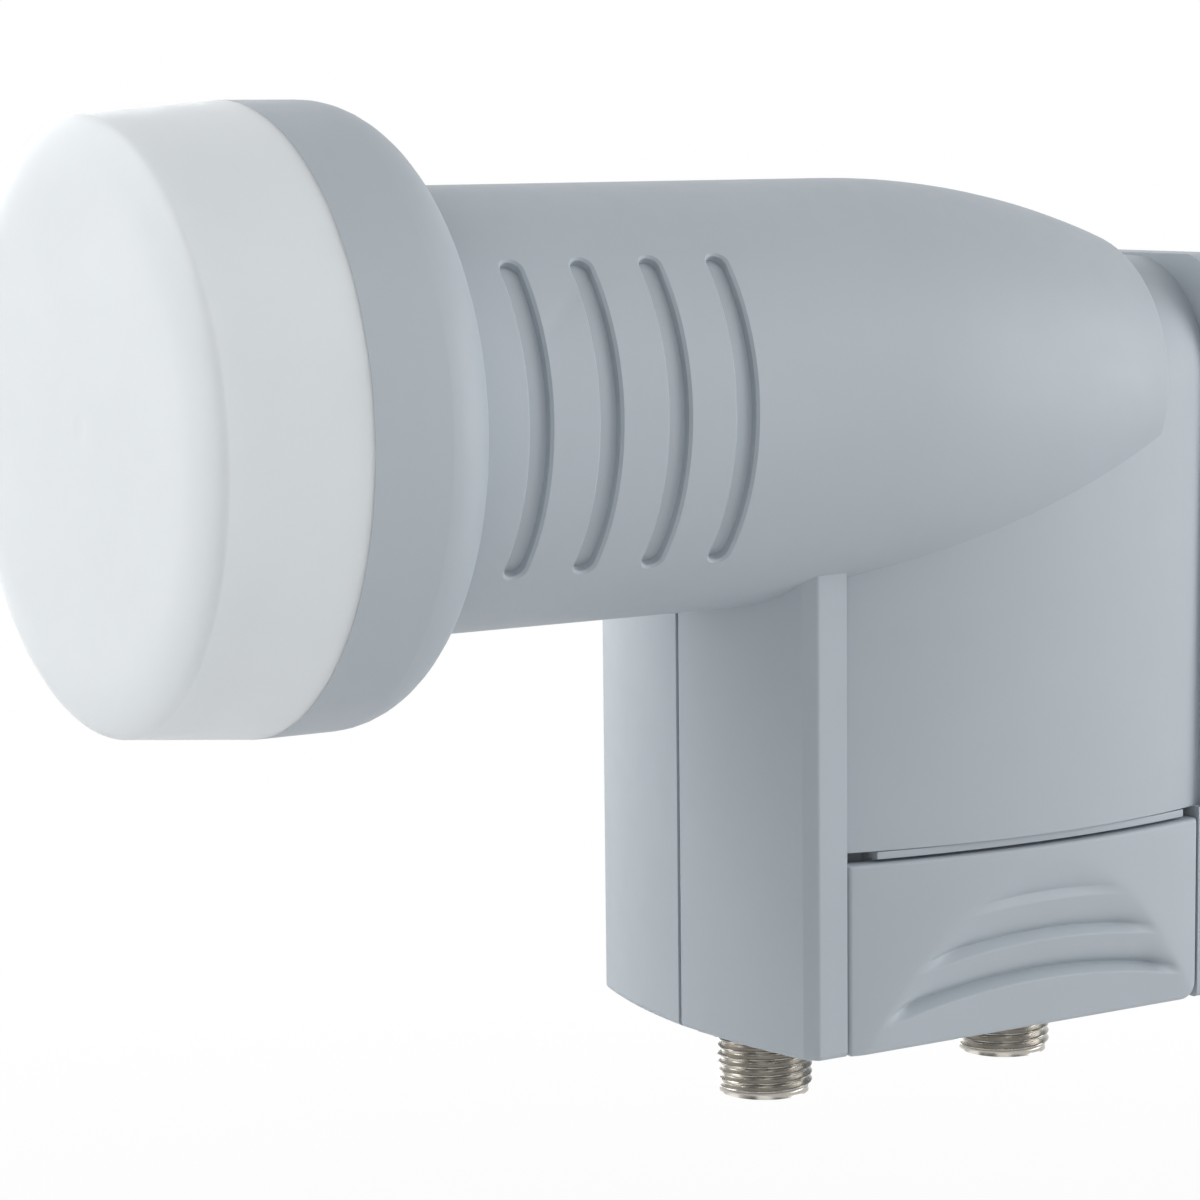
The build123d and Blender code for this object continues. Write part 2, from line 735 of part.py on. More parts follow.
main_shell, side_shell = shells()
right_slide = weather_slide()
nodes = {
    "main_shell": main_shell,
    "side_shell": side_shell,
    "front_cap": front_cap(),
    "cap_seal": cap_seal(),
    "weather_slide_right": right_slide,
    "weather_slide_left": mirrored(right_slide),
    "cast_body": cast_body(),
    "shield_cover": lid(),
    "circuit_board": board(),
    "switch_chip": chip(board_mid_y, row_low_z, switch_side, switch_side, chip_rise),
    "mixer_chip": chip(board_mid_y, row_high_z, mixer_side, mixer_side, chip_rise),
    "oscillator_crystal": chip(
        board_mid_y + component_column, row_high_z, crystal_width, crystal_height, crystal_rise
    ),
    "voltage_regulator": chip(
        board_mid_y - component_column, row_low_z, regulator_width, regulator_height, regulator_rise
    ),
    "absorber_pad": box(
        tray_open_x,
        tray_open_x + absorber_thickness,
        board_mid_y - absorber_width / 2,
        board_mid_y + absorber_width / 2,
        board_mid_z - absorber_height / 2,
        board_mid_z + absorber_height / 2,
    ),
    "probe_vertical": wire(
        (0, probe_vertical_y, -guide_bore_r + probe_reach),
        (0, probe_vertical_y, probe_z),
        (tray_floor_x, probe_vertical_y, probe_z),
    ),
    "probe_horizontal": wire(
        (-guide_bore_r + probe_reach, probe_horizontal_y, 0),
        (probe_out_x, probe_horizontal_y, 0),
        (probe_out_x, probe_horizontal_y, probe_z),
        (board_x, probe_horizontal_y, probe_z),
    ),
    "bead_vertical": rod(bead_r, 0, probe_vertical_y, -guide_tube_r, -guide_bore_r)
    - rod(pin_r, 0, probe_vertical_y, -guide_tube_r - 1, 0),
    "bead_horizontal": rod_x(bead_r, probe_horizontal_y, 0, -guide_tube_r, -guide_bore_r)
    - rod_x(pin_r, probe_horizontal_y, 0, -guide_tube_r - 1, 0),
    "cover_screws": Compound(
        [screw(y, z, tray_open_x - lid_thickness, tray_open_x + cover_screw_length) for y, z in post_places()]
    ),
    "board_screws": Compound(
        [screw(y, z, board_x, tray_floor_x + tray_wall) for y, z in board_screw_places()]
    ),
}
for place, y in zip(("front", "rear"), connector_places):
    nodes["f_connector_" + place] = socket_body(y)
    nodes["insulator_" + place] = socket_insulator(y)
    nodes["contact_" + place] = socket_contact(y)
    nodes["connector_seal_" + place] = socket_seal(y)

os.makedirs("parts", exist_ok=True)
for name, shape in nodes.items():
    export_step(shape, "parts/" + name + ".step")
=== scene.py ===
import json
import logging
import math
from dataclasses import dataclass
from enum import Enum

import bmesh
import bpy
import numpy as np
from mathutils import Matrix, Vector


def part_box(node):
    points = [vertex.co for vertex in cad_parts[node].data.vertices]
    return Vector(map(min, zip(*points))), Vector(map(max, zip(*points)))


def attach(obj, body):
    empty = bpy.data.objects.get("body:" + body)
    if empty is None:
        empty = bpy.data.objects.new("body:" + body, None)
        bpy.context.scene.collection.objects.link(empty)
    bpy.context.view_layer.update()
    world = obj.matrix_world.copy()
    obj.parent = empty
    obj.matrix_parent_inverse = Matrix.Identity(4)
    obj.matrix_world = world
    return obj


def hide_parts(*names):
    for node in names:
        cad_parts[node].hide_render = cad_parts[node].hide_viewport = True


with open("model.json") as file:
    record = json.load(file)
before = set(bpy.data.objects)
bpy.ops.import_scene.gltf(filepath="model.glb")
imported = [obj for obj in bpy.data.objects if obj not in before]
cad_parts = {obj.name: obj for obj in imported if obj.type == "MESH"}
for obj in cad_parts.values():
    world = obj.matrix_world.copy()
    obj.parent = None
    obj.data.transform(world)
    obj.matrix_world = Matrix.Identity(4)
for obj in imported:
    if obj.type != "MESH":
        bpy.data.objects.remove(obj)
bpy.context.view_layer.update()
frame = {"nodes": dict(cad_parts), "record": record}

MM = 0.001
MERGE_DISTANCE = 1e-7
log = logging.getLogger("satellite_lnb")


class Slot(Enum):
    """Material slots of the record."""

    CASE = "case_plastic"
    CAP = "cap_plastic"
    NICKEL = "nickel"
    CAST = "cast_metal"
    SHEET = "sheet_metal"
    SCREW = "screw_steel"
    BOARD = "board"
    CHIP = "chip"
    ABSORBER = "absorber"
    CONTACT = "contact_metal"
    INSULATOR = "insulator"
    RUBBER = "rubber"


class Side(Enum):
    """Sides of the case, with the sign of X that points out of them."""

    RIGHT = 1
    LEFT = -1


class Place(Enum):
    """Where a socket stands under the case."""

    FRONT = "front"
    REAR = "rear"


def srgb(red: int, green: int, blue: int) -> tuple[float, float, float, float]:
    """Turns a display colour of 0 to 255 into the linear colour that a shader takes.

    Args:
        red, green, blue: the display colour.

    Returns:
        The linear colour with an alpha of 1.
    """
    shown = np.array([red, green, blue]) / 255.0
    linear = np.where(shown <= 0.04045, shown / 12.92, ((shown + 0.055) / 1.055) ** 2.4)
    return (*linear.tolist(), 1.0)


def grid_quads(rows: int, columns: int, wrap_rows: bool, wrap_columns: bool) -> np.ndarray:
    """Faces of a grid whose vertices run row by row.

    Face (i, j) joins the vertices (i, j), (i, j + 1), (i + 1, j + 1) and (i + 1, j). A wrapped
    direction also joins its last line to its first.

    Args:
        rows, columns: vertices along each direction.
        wrap_rows, wrap_columns: whether that direction closes on itself.

    Returns:
        One row of four vertex numbers for each face.
    """
    i, j = np.meshgrid(
        np.arange(rows if wrap_rows else rows - 1),
        np.arange(columns if wrap_columns else columns - 1),
        indexing="ij",
    )
    below = (i + 1) % rows
    beside = (j + 1) % columns
    corners = [i * columns + j, i * columns + beside, below * columns + beside, below * columns + j]
    return np.stack(corners, axis=-1).reshape(-1, 4)


def shell_quads(rows: int, columns: int) -> np.ndarray:
    """Faces of a closed shell made of two grids with the same border, one after the other.

    The first grid is the front and the second the back. Four walls join their borders.

    Args:
        rows, columns: vertices along each direction of one grid.

    Returns:
        One row of four vertex numbers for each face.
    """
    front = grid_quads(rows, columns, False, False)
    number = np.arange(rows * columns).reshape(rows, columns)
    border = np.concatenate(
        [number[0, :-1], number[:-1, -1], number[-1, :0:-1], number[:0:-1, 0]]
    )
    onward = np.roll(border, -1)
    back = rows * columns
    walls = np.stack([border, border + back, onward + back, onward], axis=-1)
    return np.concatenate([front, front[:, ::-1] + back, walls])


def mesh_object(
    name: str, points: np.ndarray, quads: np.ndarray, crease_deg: float = 40.0
) -> bpy.types.Object:
    """Makes an object of points and four-cornered faces, merged where points meet.

    Args:
        name: the piece's name.
        points: vertex places in metres, one per row.
        quads: four vertex numbers for each face.
        crease_deg: edges that turn by more than this stay sharp.

    Returns:
        The linked object, with its faces pointing outwards.
    """
    mesh = bpy.data.meshes.new(name)
    mesh.vertices.add(len(points))
    mesh.vertices.foreach_set("co", np.ascontiguousarray(points, np.float32).ravel())
    mesh.loops.add(quads.size)
    mesh.loops.foreach_set("vertex_index", np.ascontiguousarray(quads, np.int32).ravel())
    mesh.polygons.add(len(quads))
    mesh.polygons.foreach_set("loop_start", np.arange(0, quads.size, 4, dtype=np.int32))
    mesh.update(calc_edges=True)
    work = bmesh.new()
    work.from_mesh(mesh)
    bmesh.ops.remove_doubles(work, verts=work.verts, dist=MERGE_DISTANCE)
    bmesh.ops.recalc_face_normals(work, faces=work.faces)
    work.to_mesh(mesh)
    work.free()
    mesh.shade_smooth()
    mesh.set_sharp_from_angle(angle=math.radians(crease_deg))
    obj = bpy.data.objects.new(name, mesh)
    bpy.context.scene.collection.objects.link(obj)
    return obj


class NodeSheet:
    """A material's node tree, with short ways to add and join its nodes."""

    NOISE_RANGE = (0.3, 0.7)
    EDGE_SAMPLES = 6

    def __init__(self, name: str) -> None:
        """Starts an empty material with one Principled shader."""
        self.material = bpy.data.materials.new(name)
        self.material.use_nodes = True
        self.tree = self.material.node_tree
        self.tree.nodes.clear()
        self.output = self.tree.nodes.new("ShaderNodeOutputMaterial")
        self.shader = self.tree.nodes.new("ShaderNodeBsdfPrincipled")
        self.join(self.shader.outputs["BSDF"], self.output.inputs["Surface"])
        self.place = self.tree.nodes.new("ShaderNodeTexCoord").outputs["Object"]

    def join(self, start: bpy.types.NodeSocket, finish: bpy.types.NodeSocket) -> None:
        """Links one socket to another."""
        self.tree.links.new(start, finish)

    def noise(self, scale: float, detail: float, roughness: float = 0.5) -> bpy.types.NodeSocket:
        """Adds a noise on Object coordinates.

        Args:
            scale: waves in a metre.
            detail: octaves.
            roughness: how strong the finer octaves are.

        Returns:
            The noise's value socket, from about 0 to 1.
        """
        node = self.tree.nodes.new("ShaderNodeTexNoise")
        node.inputs["Scale"].default_value = scale
        node.inputs["Detail"].default_value = detail
        node.inputs["Roughness"].default_value = roughness
        self.join(self.place, node.inputs["Vector"])
        return node.outputs["Fac"]

    def ramp(self, value: bpy.types.NodeSocket, low: float, high: float) -> bpy.types.NodeSocket:
        """Maps a noise to a range.

        Args:
            value: the noise.
            low, high: what the ends of NOISE_RANGE become.

        Returns:
            The mapped value socket.
        """
        node = self.tree.nodes.new("ShaderNodeMapRange")
        node.inputs["From Min"].default_value = self.NOISE_RANGE[0]
        node.inputs["From Max"].default_value = self.NOISE_RANGE[1]
        node.inputs["To Min"].default_value = low
        node.inputs["To Max"].default_value = high
        self.join(value, node.inputs["Value"])
        return node.outputs["Result"]

    def blend(
        self,
        value: bpy.types.NodeSocket,
        first: tuple[float, float, float, float],
        second: tuple[float, float, float, float],
    ) -> bpy.types.NodeSocket:
        """Blends two colours by a value.

        Args:
            value: 0 gives the first colour and 1 the second.
            first, second: linear colours.

        Returns:
            The colour socket.
        """
        node = self.tree.nodes.new("ShaderNodeMix")
        node.data_type = "RGBA"
        colours = [s for s in node.inputs if s.type == "RGBA"]
        colours[0].default_value = first
        colours[1].default_value = second
        self.join(value, node.inputs["Factor"])
        return next(s for s in node.outputs if s.type == "RGBA")

    def round_edges(self, radius: float) -> None:
        """Shades sharp edges as if they were rounded.

        Args:
            radius: of the rounding, in metres.
        """
        node = self.tree.nodes.new("ShaderNodeBevel")
        node.samples = self.EDGE_SAMPLES
        node.inputs["Radius"].default_value = radius
        self.join(node.outputs["Normal"], self.shader.inputs["Normal"])

    def bump(self, height: bpy.types.NodeSocket, depth: float, strength: float) -> None:
        """Raises the surface by a height, chained onto any bump that is there.

        Args:
            height: value from 0 to 1.
            depth: metres that the height stands for.
            strength: share of the effect.
        """
        node = self.tree.nodes.new("ShaderNodeBump")
        node.inputs["Strength"].default_value = strength
        node.inputs["Distance"].default_value = depth
        self.join(height, node.inputs["Height"])
        normal = self.shader.inputs["Normal"]
        if normal.is_linked:
            self.join(normal.links[0].from_socket, node.inputs["Normal"])
        self.join(node.outputs["Normal"], normal)


def shifted(
    colour: tuple[float, float, float, float], share: float
) -> tuple[float, float, float, float]:
    """A colour made lighter or darker by a share of itself."""
    return tuple(c * (1 + share) for c in colour[:3]) + (1.0,)


@dataclass(frozen=True)
class Finish:
    """A surface with slight clouds in its colour, uneven gloss and a fine grain.

    Scales are waves in a metre, lengths are in metres, and the gloss varies gloss_finer times as finely
    as the colour.
    """

    name: str
    colour: tuple[float, float, float, float]
    roughness: float
    roughness_spread: float = 0.04
    cloud_scale: float = 60.0
    cloud_share: float = 0.015
    grain_scale: float = 3200.0
    grain_depth: float = 0.01 * MM
    grain_strength: float = 0.25
    metallic: float = 0.0
    specular: float = 0.5
    subsurface: float = 0.0
    subsurface_radius: float = 2.5 * MM
    subsurface_tint: tuple[float, float, float] = (1.0, 0.95, 0.9)
    edge_radius: float = 0.0
    cloud_detail: float = 3.0
    gloss_detail: float = 4.0
    gloss_finer: float = 7.0
    grain_detail: float = 2.0

    def material(self) -> bpy.types.Material:
        """Builds the material.

        Returns:
            The material, with its nodes.
        """
        sheet = NodeSheet(self.name)
        shader = sheet.shader
        clouds = sheet.noise(self.cloud_scale, self.cloud_detail)
        dark = shifted(self.colour, -self.cloud_share)
        light = shifted(self.colour, self.cloud_share)
        sheet.join(sheet.blend(sheet.ramp(clouds, 0.0, 1.0), dark, light), shader.inputs["Base Color"])
        gloss = sheet.noise(self.cloud_scale * self.gloss_finer, self.gloss_detail)
        low = self.roughness - self.roughness_spread
        high = self.roughness + self.roughness_spread
        sheet.join(sheet.ramp(gloss, low, high), shader.inputs["Roughness"])
        shader.inputs["Metallic"].default_value = self.metallic
        shader.inputs["Specular IOR Level"].default_value = self.specular
        if self.subsurface > 0:
            shader.inputs["Subsurface Weight"].default_value = self.subsurface
            shader.inputs["Subsurface Radius"].default_value = self.subsurface_tint
            shader.inputs["Subsurface Scale"].default_value = self.subsurface_radius
        if self.edge_radius > 0:
            sheet.round_edges(self.edge_radius)
        grain = sheet.noise(self.grain_scale, self.grain_detail)
        sheet.bump(grain, self.grain_depth, self.grain_strength)
        return sheet.material


FINISHES: dict[Slot, Finish] = {
    Slot.CASE: Finish("matte_grey_moulding", srgb(169, 177, 184), 0.52, specular=0.35, edge_radius=0.07 * MM),
    Slot.CAP: Finish("satin_white_moulding", srgb(222, 227, 230), 0.48, specular=0.35, subsurface=0.6),
    Slot.NICKEL: Finish("nickel_plate", srgb(178, 174, 167), 0.26, 0.06, metallic=1.0, cloud_share=0.05),
    Slot.CAST: Finish("cast_aluminium", srgb(200, 202, 204), 0.45, 0.08, metallic=1.0, grain_scale=1400.0),
    Slot.SHEET: Finish("rolled_aluminium", srgb(214, 215, 216), 0.32, 0.05, metallic=1.0),
    Slot.SCREW: Finish("zinc_plate", srgb(190, 190, 192), 0.3, 0.05, metallic=1.0),
    Slot.BOARD: Finish("solder_mask", srgb(22, 92, 48), 0.35, 0.05, cloud_share=0.15),
    Slot.CHIP: Finish("moulded_package", srgb(28, 28, 30), 0.5, 0.05, cloud_share=0.1),
    Slot.ABSORBER: Finish("loaded_foam", srgb(38, 38, 38), 0.9, 0.05, cloud_share=0.3, grain_strength=0.8),
    Slot.CONTACT: Finish("bare_brass", srgb(216, 184, 112), 0.3, 0.06, metallic=1.0),
    Slot.INSULATOR: Finish("white_insulator", srgb(236, 234, 226), 0.5, 0.04, subsurface=0.2),
    Slot.RUBBER: Finish("black_rubber", srgb(26, 26, 27), 0.7, 0.06, cloud_share=0.1),
}


class Wardrobe:
    """Makes each finish once and dresses pieces in it."""

    def __init__(self) -> None:
        """Builds the materials of all the slots."""
        self.materials = {slot: finish.material() for slot, finish in FINISHES.items()}

    def dress(self, obj: bpy.types.Object, slot: Slot) -> None:
        """Gives an object the finish of a slot and reports it.

        Args:
            obj: the piece.
            slot: the slot whose finish it gets.
        """
        obj.data.materials.clear()
        obj.data.materials.append(self.materials[slot])
        log.info("dressed %s, %d faces, in %s", obj.name, len(obj.data.polygons), slot.value)

    def dress_nodes(self) -> None:
        """Gives every node of the frame the finish that the record names for it."""
        for part in frame["record"]["subparts"]:
            self.dress(frame["nodes"][part["node"]], Slot(part["material_slot"]))


@dataclass
class ThreadedSocket:
    """F socket: threaded barrel under the case, relief, flange and stub above it, all one turned body.

    All lengths are in metres. The thread fades in over thread_start of a pitch, and flank_gain and
    root_flat cut its crest and root flat.
    """

    place: Place
    pitch: float = 25.4 / 32 * MM
    thread_depth: float = 0.43 * MM
    chamfer: float = 0.35 * MM
    relief: float = 0.3 * MM
    bore_r: float = 3.3 * MM
    bore_chamfer: float = 0.25 * MM
    runout: float = 0.05 * MM
    thread_start: float = 0.4
    flank_gain: float = 1.25
    root_flat: float = 0.125
    stub_r: float = 4.0 * MM
    flange_height: float = 3.0 * MM
    stub_height: float = 2.0 * MM
    barrel_length: float = 7.6 * MM
    turns: int = 96
    rows_per_pitch: int = 12
    crease_deg: float = 50.0

    def profile(self, barrel_r: float, flange_r: float, low: float, high: float) -> np.ndarray:
        """Outline from the bore's mouth out, up the barrel, round the flange and back down the bore.

        Args:
            barrel_r: crest radius of the thread.
            flange_r: radius of the flange.
            low, high: ends of the body.

        Returns:
            Rows of radius, height and share of thread.
        """
        lip = self.bore_r + self.bore_chamfer
        barrel_top = low + self.barrel_length
        rows = int(self.rows_per_pitch * (self.barrel_length - self.chamfer) / self.pitch)
        height = np.linspace(low + self.chamfer, barrel_top, rows)
        start = [
            (self.bore_r, low + self.bore_chamfer, 0),
            (lip, low, 0),
            (barrel_r - self.chamfer, low, 0),
        ]
        barrel = np.column_stack([np.full(rows, barrel_r), height, np.ones(rows)])
        flange_low = high - self.stub_height - self.flange_height
        rest = [
            (barrel_r - self.relief, barrel_top + self.runout, 0),
            (barrel_r - self.relief, flange_low, 0),
            (flange_r, flange_low, 0),
            (flange_r, high - self.stub_height, 0),
            (self.stub_r, high - self.stub_height, 0),
            (self.stub_r, high, 0),
            (self.bore_r, high, 0),
        ]
        return np.vstack([start, barrel, rest])

    def build(self) -> bpy.types.Object:
        """Turns the outline, with the thread cut into it.

        r(angle, z) = profile(z) - depth * share * wave(z / pitch - angle / turn), where wave is a
        triangle from 0 to 1 with its crest and root cut flat.

        Returns:
            The socket, in place of its node.
        """
        node = "f_connector_" + self.place.value
        low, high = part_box(node)
        centre = (low + high) / 2
        mount = next(m for m in frame["record"]["mounts"] if m["name"].endswith(self.place.value))
        barrel_r = mount["dims"]["r_mm"] * MM
        outline = self.profile(barrel_r, (high.x - low.x) / 2, low.z, high.z)
        angle = np.linspace(0, 2 * math.pi, self.turns, endpoint=False)
        r, z, share = (outline[:, k][:, None] for k in range(3))
        phase = (z / self.pitch - angle / (2 * math.pi)) % 1.0
        wave = np.clip(self.flank_gain * np.abs(2 * phase - 1) - self.root_flat, 0, 1)
        first = np.clip((z - low.z - self.chamfer) / (self.thread_start * self.pitch), 0, 1)
        r = r - self.thread_depth * share * (wave * first + (1 - first))
        points = np.stack(
            [centre.x + r * np.cos(angle), centre.y + r * np.sin(angle), z + 0 * angle], axis=-1
        ).reshape(-1, 3)
        quads = grid_quads(len(outline), self.turns, True, True)
        socket = mesh_object("threaded_socket_" + self.place.value, points, quads, self.crease_deg)
        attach(socket, "case")
        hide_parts(node)
        return socket

    def dress(self, wardrobe: Wardrobe) -> None:
        """Builds the socket and plates it."""
        wardrobe.dress(self.build(), Slot.NICKEL)


@dataclass
class FrontCap:
    """White cap: a cup turned about the feed axis, with a slanting face, a soft rim and a gate mark.

    All lengths are in millimetres in the frame's axes. The face has close rows of vertices, fine_step
    apart, out to fine_r, for the gate mark.
    """

    face_y: float = -44.4
    slant_deg: float = 1.25
    rim_width: float = 5.6
    rim_depth: float = 1.8
    draft: float = 1.1
    wall: float = 1.5
    inner_rim_share: float = 0.7
    inner_rows: int = 5
    gate_place: tuple[float, float] = (1.0, 0.2)
    gate_r: float = 1.1
    gate_depth: float = 0.07
    fine_r: float = 4.0
    fine_step: float = 0.16
    face_rows: int = 20
    rim_rows: int = 40
    band_rows: int = 16
    turns: int = 192

    def outline(self, rear_r: float, rear_y: float) -> np.ndarray:
        """Outline from the middle of the face over the rim and the band, then back inside the cup.

        The rim is a quarter of an ellipse: r = R - a + a sin(t), y = face + b (1 - cos(t)).

        Args:
            rear_r: radius of the band at its rear edge.
            rear_y: place of that edge on the feed axis.

        Returns:
            Rows of radius, place on the axis and share of the face's slant.
        """
        front_r = rear_r - self.draft
        flat_r = front_r - self.rim_width
        rim_y = self.face_y + self.rim_depth
        t = np.linspace(0, math.pi / 2, self.rim_rows)
        band = np.linspace(0, 1, self.band_rows)[1:]
        fine = np.arange(0, self.fine_r, self.fine_step)
        face_r = np.concatenate([fine, np.linspace(self.fine_r, flat_r, self.face_rows)[:-1]])
        rows = [
            np.column_stack([face_r, np.full_like(face_r, self.face_y), np.ones_like(face_r)]),
            np.column_stack(
                [
                    flat_r + self.rim_width * np.sin(t),
                    self.face_y + self.rim_depth * (1 - np.cos(t)),
                    np.ones_like(t),
                ]
            ),
            np.column_stack([front_r + self.draft * band, rim_y + (rear_y - rim_y) * band, 1 - band]),
        ]
        inner_r = front_r - self.wall
        corner_r = inner_r - self.rim_width + self.wall
        floor_y = self.face_y + self.wall
        inside = [
            (inner_r, rear_y, 0),
            (inner_r, floor_y + self.rim_depth * self.inner_rim_share, 1),
            (corner_r, floor_y, 1),
            (corner_r / 2, floor_y, 1),
            (0, floor_y, 1),
        ]
        return np.vstack([*rows, inside])

    def build(self) -> bpy.types.Object:
        """Turns the outline, slants its face and presses the gate mark into it.

        y(r, angle) = outline - share * tan(slant) * z, and within the face the mark adds
        depth * exp(-(d / gate_r)^4) at a distance d from its place.

        Returns:
            The cap, in place of its node.
        """
        low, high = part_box("front_cap")
        outline = self.outline((high.x - low.x) / 2 / MM, high.y / MM)
        angle = np.linspace(0, 2 * math.pi, self.turns, endpoint=False)
        r, along, share = (outline[:, k][:, None] for k in range(3))
        x = r * np.cos(angle)
        z = r * np.sin(angle)
        away = np.hypot(x - self.gate_place[0], z - self.gate_place[1])
        outer = (np.arange(len(outline)) < len(outline) - self.inner_rows)[:, None]
        mark = np.where(outer, self.gate_depth * np.exp(-((away / self.gate_r) ** 4)), 0)
        y = along - share * math.tan(math.radians(self.slant_deg)) * z + mark
        points = np.stack([x, y, z], axis=-1).reshape(-1, 3) * MM
        cap = mesh_object("soft_cap", points, grid_quads(len(outline), self.turns, False, True))
        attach(cap, "case")
        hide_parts("front_cap")
        return cap

    def dress(self, wardrobe: Wardrobe) -> None:
        """Builds the cap and gives it the white moulding's finish."""
        wardrobe.dress(self.build(), Slot.CAP)


@dataclass
class WeatherCover:
    """Sliding weather cover: bowed plate with a stepped thumb grip, and the guide behind the panel.

    All lengths are in millimetres in the frame's axes, for the right side. The left cover is its mirror
    image about the case's middle plane, x = mid_x. The plate's face bows out by bulge over chord, and the
    guide's faces by guide_bulge over guide_front and guide_back. The grip's flat leaves the face at apex_z
    and stands foot over the chord at foot_z; flat_lift and flat_turn then move it slightly. A crease is
    the deepest line of a step, with its depth in depths and a slope of the height ledge under it. The
    vertices' rows lie edge_rows from the plate's edges, and row_step apart down the grip.
    """

    side: Side
    mid_x: float = -7.0
    chord: float = 11.8
    bulge: float = 2.5
    guide_front: float = 9.8
    guide_back: float = 8.3
    guide_bulge: float = 2.4
    guide_ends: tuple[float, float] = (30.5, 67.7)
    half_length: float = 21.4
    plate_top: float = -43.75
    overlap: float = 0.8
    upper_corner_r: float = 0.3
    front_corner_r: float = 0.4
    rear_corner_r: float = 1.8
    edge_r: float = 0.35
    apex_z: float = -44.55
    foot_z: float = -62.0
    foot: float = 0.15
    flat_lift: float = 0.1
    flat_turn: float = 0.008
    creases: tuple[float, ...] = (-48.35, -52.35, -56.35)
    depths: tuple[float, ...] = (0.65, 1.1, 1.4)
    ledge: float = 0.9
    pitch: float = 4.0
    arch_r: float = 78.0
    arch_shift: float = 1.4
    step_span: tuple[float, float] = (-63.0, -43.0)
    step_samples: int = 4001
    soft: float = 0.05
    soft_samples: int = 80
    rim_soft: float = 0.08
    fade: float = 0.6
    grip_span: tuple[float, float] = (-57.4, -45.0)
    grip_rows: tuple[float, float] = (-57.43, 0.36)
    row_step: float = 0.07
    low_rows: tuple[float, float, int] = (0.6, -57.5, 16)
    edge_rows: tuple[float, ...] = (0.0, 0.015, 0.05, 0.1, 0.17, 0.25, 0.35)
    columns: int = 100
    column_inset: float = 0.6
    guide_gap: float = 0.01
    strip_columns: int = 60
    strip_rows: int = 4
    ear_height: float = 1.9
    ear_overlap: float = 0.1
    bead_ahead: float = 0.3
    bead_x: tuple[float, float] = (11.2, 9.72)
    bead_z: tuple[float, float] = (-43.42, -42.72)

    def bow(self, y: np.ndarray, bulge: float) -> np.ndarray:
        """Height of a circular bow: sqrt(R^2 - y^2) - (R - bulge), with R from the half length.

        Args:
            y: places from the middle of the cover.
            bulge: height in the middle.

        Returns:
            The height over the chord, which is 0 at the ends.
        """
        r = (self.half_length**2 + bulge**2) / (2 * bulge)
        return np.sqrt(r**2 - y**2) - (r - bulge)

    def arch(self, y: np.ndarray) -> np.ndarray:
        """Drop of the grip's arched lines towards their ends: R - sqrt(R^2 - (y - shift)^2)."""
        return self.arch_r - np.sqrt(self.arch_r**2 - (y - self.arch_shift) ** 2)

    def steps(self, level: np.ndarray) -> np.ndarray:
        """Depth of the grip's grooves below its flat at a level on the arched lines.

        Down each wall the depth is D (0.25 w + 0.75 w^5), with w from 0 at the upper nose to 1 at the
        crease, and up the ledge it is D (1 - m). The whole is smoothed by a narrow bell curve.

        Args:
            level: heights along the middle of the grip.

        Returns:
            Depths, 0 outside the grooves.
        """
        fine = np.linspace(*self.step_span, self.step_samples)
        depth = np.zeros_like(fine)
        for crease, deep in zip(self.creases, self.depths):
            w = 1 - (fine - crease) / (self.pitch - self.ledge)
            wall = (fine >= crease) & (w >= 0)
            depth = np.where(wall, deep * (0.25 * w + 0.75 * w**5), depth)
            m = (crease - fine) / self.ledge
            depth = np.where((m > 0) & (m <= 1), deep * (1 - m), depth)
        step = fine[1] - fine[0]
        reach = np.arange(-self.soft_samples, self.soft_samples + 1) * step
        bell = np.exp(-0.5 * (reach / self.soft) ** 2)
        return np.interp(level, fine, np.convolve(depth, bell / bell.sum(), mode="same"))

    def face(self, y: np.ndarray, z: np.ndarray) -> np.ndarray:
        """Outer face of the plate.

        The bowed face is cut by the slanting flat of the grip, x = softmin(bow, flat), and the steps are
        sunk into the flat where it lies under the bow.

        Args:
            y: places from the middle of the cover.
            z: heights.

        Returns:
            The x of each place.
        """
        bowed = self.chord + self.bow(y, self.bulge)
        share = (self.apex_z - z) / (self.apex_z - self.foot_z)
        flat = self.chord + self.bulge * (1 - share) + self.foot * share
        over = bowed - (flat + self.flat_lift - self.flat_turn * y)
        cut = 0.5 * (over + np.sqrt(over**2 + self.rim_soft**2))
        inside = np.clip(over / self.fade, 0, 1)
        inside = inside**2 * (3 - 2 * inside)
        return bowed - cut - inside * self.steps(z + self.arch(y))

